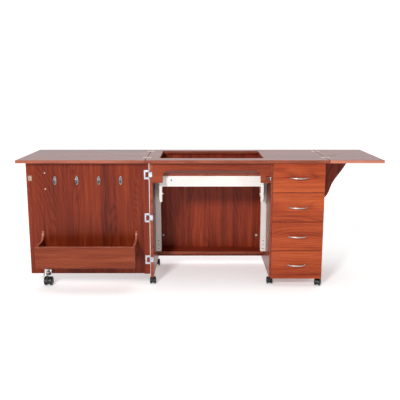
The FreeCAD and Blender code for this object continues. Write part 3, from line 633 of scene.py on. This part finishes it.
for side in (-1, 1):
    bpy.ops.object.select_all(action="DESELECT")
    bpy.ops.mesh.primitive_cylinder_add(vertices=20, radius=0.0042, depth=foot_height,
                                        location=(side * half_pitch, -foot_height / 2, 0),
                                        rotation=(math.radians(90), 0, 0))
    foot = bpy.context.object
    bpy.ops.object.transform_apply(location=True, rotation=True, scale=True)
    edit(foot)
    pick(foot, "faces", lambda face: face.normal.y < -0.9)
    bpy.ops.mesh.bevel(offset=0.0012, segments=2, affect="EDGES")
    done()
    feet.append(foot)
bow = merged([bow] + feet, "bow_model")
bow.data.materials.clear()
bow.data.materials.append(nickel)
smooth(bow, 50)
screw = screw_head(0.0045, 0.0024)
screw.data.materials.append(nickel)
smooth(screw, 50)
box_wall = 0.012
for number in (1, 2, 3, 4):
    low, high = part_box(f"drawer_{number}_handle")
    front_low, front_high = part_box(f"drawer_{number}_front")
    middle = (low + high) / 2
    pull = placed_copies(
        bow.copy(), [Matrix.Translation((middle.x, front_low.y, middle.z))], "bow_part")
    heads = placed_copies(screw.copy(), [
        Matrix.Translation((middle.x + side * half_pitch, front_high.y + box_wall, middle.z))
        @ turned("X", -90) for side in (-1, 1)], "head_part")
    handle = merged([pull, heads], f"drawer_{number}_pull")
    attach(handle, f"drawer_{number}")
    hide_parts(f"drawer_{number}_handle")
low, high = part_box("door_handle")
panel_low, panel_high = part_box("door_panel")
middle = Vector(((low.x + high.x) / 2, panel_high.y, (low.z + high.z) / 2))
pull = placed_copies(bow, [Matrix.Translation(middle) @ turned("Z", 180) @ turned("Y", 90)],
                     "bow_part")
heads = placed_copies(screw, [
    Matrix.Translation((middle.x, panel_low.y, middle.z + side * half_pitch)) @ turned("X", 90)
    for side in (-1, 1)], "head_part")
handle = merged([pull, heads], "door_pull")
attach(handle, "door")
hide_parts("door_handle")

# --- Hooks --------------------------------------------------------------------------------
# Four cast coat hooks in nickel on the door, for scissors and bags: an oval plate with one
# screw, and an arm that turns up to a ball.

hook_nickel = plated("hook_nickel_plate", (0.18, 0.17, 0.18, 1), (0.44, 0.43, 0.43, 1), 0.18)
plate_half_width, plate_thickness, plate_length_share = 0.010, 0.003, 2.6
bpy.ops.object.select_all(action="DESELECT")
bpy.ops.mesh.primitive_cylinder_add(vertices=40, radius=plate_half_width, depth=plate_thickness,
                                    location=(0, -plate_thickness / 2, 0),
                                    rotation=(math.radians(90), 0, 0))
plate = bpy.context.object
bpy.ops.object.transform_apply(location=True, rotation=True, scale=True)
edit(plate)
bpy.ops.mesh.select_all(action="SELECT")
bpy.ops.transform.resize(value=(1, 1, plate_length_share))
pick(plate, "faces", lambda face: face.normal.y < -0.9)
bpy.ops.mesh.bevel(offset=0.0016, segments=3, affect="EDGES")
done()
arm_level, arm_bend, arm_radius, arm_sides = -0.014, 0.008, 0.0032, 12
shank_length, shank_end, tip_length, ball_radius = 0.016, -0.018, 0.007, 0.0055
tip_out, tip_foot = shank_end - arm_bend, arm_level + arm_bend
bend_start = [Vector((arm_radius * math.cos(a), shank_end, arm_level + arm_radius * math.sin(a)))
              for a in [math.radians(360 / arm_sides * step) for step in range(arm_sides)]]
bend_centre = Vector((0, shank_end, tip_foot))
bend = lathe("bend", bend_start + bend_start[:1], bend_centre, (1, 0, 0), 10, -math.pi / 2)
edit(bend)
bpy.ops.mesh.select_all(action="SELECT")
bpy.ops.mesh.fill_holes(sides=0)
bpy.ops.mesh.normals_make_consistent(inside=False)
done()
bpy.ops.object.select_all(action="DESELECT")
bpy.ops.mesh.primitive_cylinder_add(vertices=arm_sides, radius=arm_radius, depth=shank_length,
                                    location=(0, shank_end + shank_length / 2, arm_level),
                                    rotation=(math.radians(90), 0, 0))
shank = bpy.context.object
bpy.ops.object.transform_apply(location=True, rotation=True, scale=True)
bpy.ops.object.select_all(action="DESELECT")
bpy.ops.mesh.primitive_cylinder_add(vertices=arm_sides, radius=arm_radius, depth=tip_length,
                                    location=(0, tip_out, tip_foot + tip_length / 2))
tip = bpy.context.object
bpy.ops.object.transform_apply(location=True, rotation=True, scale=True)
bpy.ops.object.select_all(action="DESELECT")
bpy.ops.mesh.primitive_uv_sphere_add(segments=24, ring_count=14, radius=ball_radius,
                                     location=(0, tip_out, tip_foot + tip_length))
ball = bpy.context.object
bpy.ops.object.transform_apply(location=True, rotation=True, scale=True)
edit(ball)
pick(ball, "verts", lambda vert: vert.co.z > tip_foot + 1.5 * tip_length)
bpy.ops.transform.resize(value=(0.8, 0.8, 0.7))
done()
head = placed_copies(screw_head(0.0034, 0.0016),
                     [Matrix.Translation((0, -plate_thickness, -arm_level)) @ turned("X", 90)],
                     "hook_screw")
# The screw head takes a near-black metal, and the arm, bend, tip and ball take a near-black copy
# of the nickel: painted shade, standing for the dark of the screw's recess and the shadow under
# the ball. The strike's screw and the rails' holes take the same near-black metal.
hole_shade_black = plated("blackened_steel", (0.03, 0.025, 0.02, 1), (0.1, 0.08, 0.07, 1), 0.4)
painted_shade_nickel = plated("shaded_nickel_plate", (0.07, 0.065, 0.07, 1), (0.2, 0.19, 0.2, 1), 0.25)
for part, metal in ((plate, hook_nickel), (bend, painted_shade_nickel), (shank, painted_shade_nickel),
                    (tip, painted_shade_nickel), (ball, painted_shade_nickel), (head, hole_shade_black)):
    part.data.materials.clear()
    part.data.materials.append(metal)
hook = merged([plate, bend, shank, tip, ball, head], "hook_model")
smooth(hook, 50)
low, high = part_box("door_hooks")
first = low.x + plate_half_width
pitch = (high.x - low.x - 2 * plate_half_width) / 3
plate_middle = low.z + plate_half_width * plate_length_share
hooks = placed_copies(hook, [
    Matrix.Translation((first + pitch * step, high.y, plate_middle)) for step in range(4)],
    "door_coat_hooks")
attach(hooks, "door")
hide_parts("door_hooks")

# --- Castors ------------------------------------------------------------------------------
# Black nylon twin-wheel castors: two domed wheels either side of a web, a hood over them, and
# a stem that is pushed into its socket. Five small ones carry the cabinet, and a larger one
# on a bracket carries the free end of the door.


def moulded(name, dark, light, rough):
    """Moulded nylon: nearly black, with a fine spark texture and dusty patches."""
    material, shade, surface = new_material(name)
    place = shade.node("ShaderNodeTexCoord", {}, {}, "Object")
    dust = place.noise(45.0, 5.0)
    spark = place.noise(1500.0)
    join(dust.between(0.4, 0.75).colour(dark, light), surface.inputs["Base Color"])
    join(rough + 0.25 * dust, surface.inputs["Roughness"])
    join(shade.node("ShaderNodeBump", {}, {"Height": spark, "Strength": 0.1, "Distance": 0.0002}),
         surface.inputs["Normal"])
    return material


nylon = moulded("black_nylon_housing", tone(11, 11, 12), tone(34, 34, 35), 0.3)
wheel_nylon = moulded("black_nylon_wheels", tone(13, 13, 14), tone(40, 40, 39), 0.24)


def castor_parts(radius, tread, web, trail, mount, stem):
    """The wheels and the housing of one castor, its stem's line at the origin. Each edge,
    skin and neck is a line of points, across or out from the turning axis, then away."""
    axle = Vector((0, trail, radius))
    inner = web / 2 + 0.001
    outer = inner + tread
    wheels = []
    for side in (-1, 1):
        edge = ((inner, 0), (inner, radius - 0.003), (inner + 0.0012, radius - 0.0008),
                (inner + 0.003, radius), (outer - 0.0065, radius),
                (outer - 0.004, radius - 0.0008),
                (outer - 0.0018, radius - 0.003), (outer - 0.0006, radius - 0.006),
                (outer - 0.0004, radius - 0.0075), (outer - 0.0016, radius - 0.0082),
                (outer - 0.0022, radius * 0.52), (outer - 0.0018, radius * 0.42),
                (outer - 0.0008, radius * 0.37), (outer - 0.0002, radius * 0.2), (outer, 0))
        profile = [axle + Vector((side * across, 0, away)) for across, away in edge]
        wheels.append(lathe("wheel", profile, axle, (1, 0, 0), 40))
    wheels = merged(wheels, "wheel_model")
    half = outer - 0.003
    skin = ((-half, 0.0015), (half, 0.0015), (half + 0.0008, 0.002), (half, 0.0033),
            (half - 0.002, 0.004), (-half + 0.002, 0.004), (-half, 0.0033),
            (-half - 0.0008, 0.002), (-half, 0.0015))
    profile = [axle + Vector((across, -radius - away, 0.0015)) for across, away in skin]
    hood = lathe("hood", profile, axle, (1, 0, 0), 24, -math.pi)
    edit(hood)
    bpy.ops.mesh.select_all(action="SELECT")
    bpy.ops.mesh.fill_holes(sides=0)
    bpy.ops.mesh.normals_make_consistent(inside=False)
    done()
    bpy.ops.object.select_all(action="DESELECT")
    bpy.ops.mesh.primitive_cylinder_add(vertices=40, radius=radius + 0.002, depth=web - 0.001,
                                        location=axle, rotation=(0, math.radians(90), 0))
    rib = bpy.context.object
    bpy.ops.object.transform_apply(location=True, rotation=True, scale=True)
    edit(rib)
    bpy.ops.mesh.select_all(action="SELECT")
    bpy.ops.mesh.bisect(plane_co=(0, 0, radius * 0.55), plane_no=(0, 0, 1), clear_inner=True,
                        use_fill=True)
    done()
    shoulder = 2 * radius + 0.004
    neck = lathe("neck", [Vector(point) for point in (
        (0, 0, radius * 1.5), (0.0085, 0, radius * 1.5), (0.0082, 0, radius * 1.9),
        (0.0068, 0, shoulder), (0.0062, 0, mount - 0.003), (0.0054, 0, mount - 0.0024),
        (0.0039, 0, mount - 0.0024), (0.0039, 0, mount + stem - 0.001),
        (0.003, 0, mount + stem), (0, 0, mount + stem))], (0, 0, 0), (0, 0, 1), 28)
    housing = merged([hood, rib, neck], "housing_model")
    for piece, material in ((wheels, wheel_nylon), (housing, nylon)):
        piece.data.materials.clear()
        piece.data.materials.append(material)
        smooth(piece, 45)
    return wheels, housing


def castor_place(name):
    """Where a castor stands, read from its swivel joint, and which way its axle trails."""
    swivel = next(j for j in frame["joints"] if j["name"] == name + "_swivel")
    roll = next(j for j in frame["joints"] if j["name"] == name + "_roll")
    at, axle, axis = (Vector(v) for v in (swivel["pos_m"], roll["pos_m"], roll["axis"]))
    heading = math.degrees(math.atan2(axis.y, axis.x))
    return Matrix.Translation((at.x, at.y, 0)) @ turned("Z", heading)


small_wheels, small_housing = castor_parts(0.020, 0.013, 0.010, 0.018, 0.053, 0.024)
for spot in ("front_left", "rear_left", "front_middle", "front_right", "rear_right"):
    name = "caster_" + spot
    place = castor_place(name)
    for model, part, body, slot in ((small_wheels, "_wheels", name + "_wheels", "wheel_nylon"),
                                    (small_housing, "_housing", name, "black_nylon")):
        piece = placed_copies(model.copy(), [place], name + part + "_moulded")
        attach(piece, body)
        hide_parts(name + part)
bpy.data.objects.remove(small_wheels)
bpy.data.objects.remove(small_housing)
large_wheels, large_housing = castor_parts(0.025, 0.019, 0.013, 0.022, 0.073, 0.016)
place = castor_place("door_caster")
for model, part, body, slot in (
        (large_wheels, "_wheels", "door_caster_wheels", "wheel_nylon"),
        (large_housing, "_housing", "door_caster", "black_nylon")):
    piece = placed_copies(model, [place], "door_caster" + part + "_moulded")
    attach(piece, body)
    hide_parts("door_caster" + part)

# --- Hinges -------------------------------------------------------------------------------
# Three bright zinc hinges on the door whose small leaf nests in the frame leaf, two butt
# hinges on the leaf support, and two pale brass flush hinges at each leaf, all with
# countersunk screws.

bright_zinc = plated("bright_zinc_plate", (0.4, 0.43, 0.48, 1), (0.62, 0.66, 0.72, 1), 0.3)
pale_brass = plated("pale_brass_plate", (0.58, 0.46, 0.37, 1), (0.74, 0.61, 0.5, 1), 0.34)

countersunk = screw_head(0.0033, 0.0012)
countersunk.data.materials.append(bright_zinc)
smooth(countersunk, 50)
brass_screw = screw_head(0.0033, 0.0012)
brass_screw.data.materials.append(pale_brass)
smooth(brass_screw, 50)


def with_screws(node, name, metal, screw, body, groups, arris=0.0003):
    """A plate of the CAD with its long edges eased, and screws at each place of each group."""
    plate = shell_of(node, name)
    round_arrises(plate, arris, 2, 0.004)
    plate.data.materials.append(metal)
    smooth(plate, 40)
    piece = merged([plate, placed_copies(screw.copy(), groups, name + "_screws")], name)
    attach(piece, body)
    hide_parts(node)


sunk, leaf_thickness, half_frame, frame_screw_rise = 0.00116, 0.002, 0.027, 0.0212
frame_low, frame_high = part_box("door_hinge_frames")
side_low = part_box("left_side_panel")[0]
stile_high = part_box("door_hinge_stile")[1]
levels = [frame_low.z + half_frame, (frame_low.z + frame_high.z) / 2, frame_high.z - half_frame]
facing = turned("X", 90)
face_level = side_low.y - leaf_thickness + sunk
places = []
for level in levels:
    for rise in (-frame_screw_rise, frame_screw_rise):
        for inset in (0.0045, 0.0175):
            places.append(Matrix.Translation((stile_high.x - inset, face_level,
                                              level + rise)) @ facing)
with_screws("door_hinge_frames", "door_hinge_frame_leaves", bright_zinc, countersunk, "door",
            places)
case_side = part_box("right_side_panel")[1].x
wing_low, wing_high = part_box("leaf_support_wing")
wing_levels = (wing_low.z + 0.062, wing_high.z - 0.045)
wing_screw_rises = (-0.013, 0.0, 0.013)
places = []
for level in levels:
    for rise, inset in ((-0.009, 0.0115), (0.0, 0.006), (0.009, 0.0115)):
        places.append(Matrix.Translation((side_low.x + inset, face_level,
                                          level + rise)) @ facing)
for level in wing_levels:
    for rise in wing_screw_rises:
        places.append(Matrix.Translation((case_side + leaf_thickness - sunk,
                                          wing_low.y + 0.0185 + 0.0005 * rise,
                                          level + rise)) @ turned("Y", 90))
with_screws("cabinet_hinge_leaves", "cabinet_small_leaves", bright_zinc, countersunk, "cabinet",
            places)
rear_plate = wing_high.y + leaf_thickness - sunk
places = [Matrix.Translation((wing_low.x + 0.018, rear_plate, level + rise)) @ turned("X", -90)
          for level in wing_levels for rise in wing_screw_rises]
with_screws("wing_hinge_leaves", "support_hinge_leaves", bright_zinc, countersunk,
            "support_wing", places)
top_low, top_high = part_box("main_top")
leaf_gap, hinge_places = 0.003, (0.130, 0.452)
flush_screws = ((0.016, -0.013), (0.016, 0.013), (0.010, 0.0))
for node, body, edges in (
        ("main_top_hinge_plates", "cabinet", ((top_low.x, 1), (top_high.x, -1))),
        ("left_leaf_hinge_plates", "left_leaf", ((top_low.x - leaf_gap, -1),)),
        ("right_leaf_hinge_plates", "right_leaf", ((top_high.x + leaf_gap, 1),))):
    places = [Matrix.Translation((edge + inward * across, top_low.y + inset + along,
                                  top_high.z - sunk))
              for edge, inward in edges for inset in hinge_places
              for across, along in flush_screws]
    with_screws(node, node.replace("plates", "flush_plates"), pale_brass, brass_screw, body,
                places)

# --- Latch and castor bracket -------------------------------------------------------------
# A magnetic catch in a brown nylon body with a steel pole, its dark strike plate on the door,
# and the zinc bracket under the door that its castor's stem goes through.

catch_plastic = moulded("catch_brown_plastic", tone(104, 40, 24), tone(130, 54, 34), 0.6)
strike_steel = plated("strike_bronze_plate", (0.3, 0.22, 0.16, 1), (0.46, 0.35, 0.27, 1), 0.35)
low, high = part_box("magnetic_catch")
catch = shell_of("magnetic_catch", "catch_body")
round_arrises(catch, 0.0008, 3, 0.004)
catch.data.materials.append(catch_plastic)
smooth(catch, 40)
pole_width, pole_depth, pole_short_by = 0.004, 0.0056, 0.003
bpy.ops.object.select_all(action="DESELECT")
bpy.ops.mesh.primitive_cube_add(size=1, location=(high.x - 0.0035, low.y + 0.0026,
                                                  (low.z + high.z) / 2))
pole = bpy.context.object
bpy.ops.transform.resize(value=(pole_width, pole_depth, high.z - low.z - pole_short_by))
bpy.ops.object.transform_apply(location=True, rotation=True, scale=True)
round_arrises(pole, 0.0006, 2, 0.003)
pole.data.materials.append(bright_zinc)
smooth(pole, 40)
catch = merged([catch, pole], "magnetic_catch_unit")
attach(catch, "cabinet")
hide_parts("magnetic_catch")

# The screw head is near-black: painted shade, standing for the dark of the strike plate's hole.
strike_screw = screw_head(0.004, 0.0012)
strike_screw.data.materials.append(hole_shade_black)
smooth(strike_screw, 50)
low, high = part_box("door_strike_plate")
centre = (low + high) / 2
with_screws("door_strike_plate", "strike_plate", strike_steel, strike_screw, "door",
            [Matrix.Translation((centre.x, high.y - sunk, centre.z))
                             @ turned("X", -90)])
low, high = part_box("door_caster_bracket")
centre = (low + high) / 2
with_screws("door_caster_bracket", "caster_bracket", zinc, countersunk, "door",
            [Matrix.Translation((centre.x + across, high.y - 0.0002,
                                                 high.z - 0.006)) @ turned("X", -90)
                             for across in (-0.013, 0.013)])
for spare in (countersunk, brass_screw, strike_screw):
    bpy.data.objects.remove(spare)

# --- Gas springs and castor sockets -------------------------------------------------------
# Two gas springs in dark grey paint push the lift up, their chromed rods under its frame.
# Each castor's stem goes into a zinc socket let into the bottom edge of its side.

spring_paint = moulded("spring_grey_paint", tone(52, 53, 56), tone(92, 93, 96), 0.3)
chrome = plated("spring_rod_chrome", (0.62, 0.62, 0.63, 1), (0.8, 0.8, 0.82, 1), 0.08, dull=0.1)
for node, name, metal, body, slot, arris in (
        ("gas_spring_cylinders", "spring_cylinders", spring_paint, "cabinet", "spring_steel",
         0.0005),
        ("gas_spring_rods", "spring_rods", chrome, "lift", "spring_rod", 0.0004),
        ("caster_sockets", "stem_sockets", zinc, "cabinet", "runner_steel", 0.0003)):
    piece = shell_of(node, name)
    round_arrises(piece, arris, 2, 0.0008)
    piece.data.materials.append(metal)
    smooth(piece, 40)
    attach(piece, body)
    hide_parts(node)

# Near-black screw heads set in the holes of the rails' front faces: painted shade, standing for
# the dark of the holes.
rail_screw = screw_head(0.0031, 0.0014)
rail_screw.data.materials.append(hole_shade_black)
smooth(rail_screw, 50)
low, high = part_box("lift_rails")
rail_screw_inset, rail_screw_rises, rail_screw_depth = 0.016, (0.018, 0.044, 0.070), 0.0006
rail_screws = placed_copies(rail_screw, [
    Matrix.Translation((x, low.y + rail_screw_depth, low.z + rise)) @ facing
    for x in (low.x + rail_screw_inset, high.x - rail_screw_inset)
    for rise in rail_screw_rises], "rail_screws")
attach(rail_screws, "cabinet")

# --- Cover caps ---------------------------------------------------------------------------
# Pale plastic caps, slightly domed, pressed over the cam fastenings inside the knee space.

cap_plastic = moulded("cap_pale_plastic", tone(196, 194, 190), tone(226, 224, 220), 0.35)
caps = shell_of("cam_fasteners", "cover_caps")
round_arrises(caps, 0.0005, 3, 0.0008)
caps.data.materials.append(cap_plastic)
smooth(caps, 50)
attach(caps, "cabinet")
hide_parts("cam_fasteners")

low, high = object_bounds()
